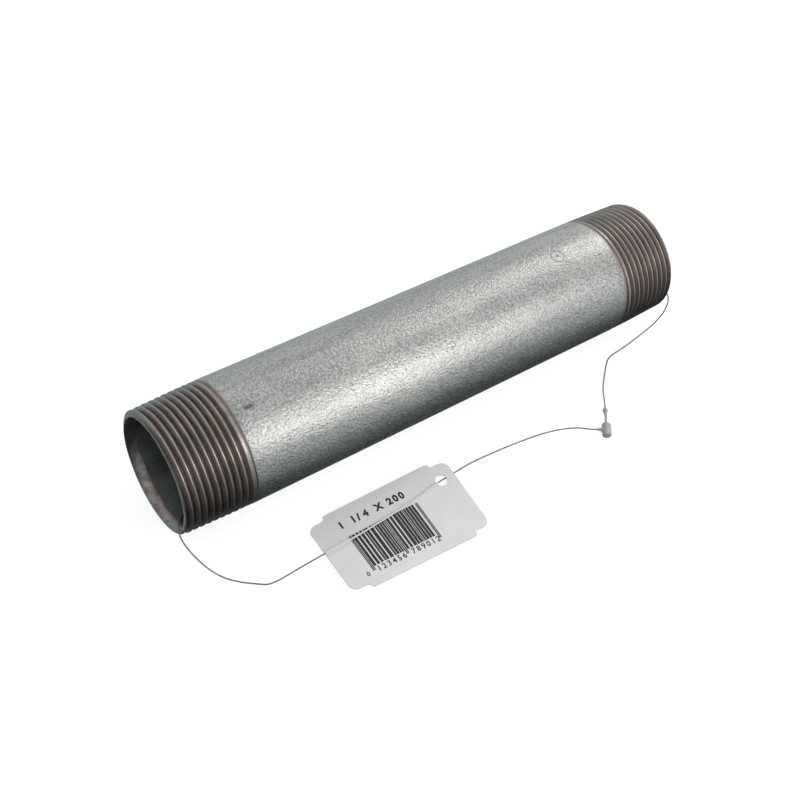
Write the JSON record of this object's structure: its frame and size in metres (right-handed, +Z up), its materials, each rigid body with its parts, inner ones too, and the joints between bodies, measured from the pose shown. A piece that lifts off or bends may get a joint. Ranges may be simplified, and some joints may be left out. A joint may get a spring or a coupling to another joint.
{
  "type": "threaded pipe nipple",
  "caption": "Straight galvanised steel pipe nipple with taper threads on both ends and a tag card tied on by a nylon loop through the bore.",
  "frame": {"origin": "on the pipe's axis at mid-length", "axes": "+X along the pipe's axis, +Z up with the pipe lying on its side; the tag lies on the -Y side"},
  "size_m": [0.2154, 0.0802, 0.0424],
  "materials": {
    "galvanised_steel": "spangled zinc on the barrel, bare cut steel on the threads",
    "card": "matt coated card",
    "nylon": "translucent natural nylon"
  },
  "bodies": {
    "pipe": {"nipple": "galvanised_steel"},
    "loop": {"loop_filament": "nylon", "lock_socket": "nylon"},
    "tag": {"tag_card": "card"},
    "bullet": {"lock_bullet": "nylon"}
  },
  "joints": [
    {"name": "loop_swing", "type": "hinge", "parent": "pipe", "child": "loop", "pos_m": [0, 0, 0], "axis": [-1, 0, 0], "continuous": true},
    {"name": "tag_pivot", "type": "hinge", "parent": "loop", "child": "tag", "pos_m": [-0.0126, -0.0366, -0.0204], "axis": [0, 0, 1], "range_deg": [-25, 180]},
    {"name": "lock_swivel", "type": "hinge", "parent": "loop", "child": "bullet", "pos_m": [0.05175, -0.04885, -0.01955], "axis": [0.6088, 0.7934, 0], "range_deg": [-90, 90]}
  ]
}
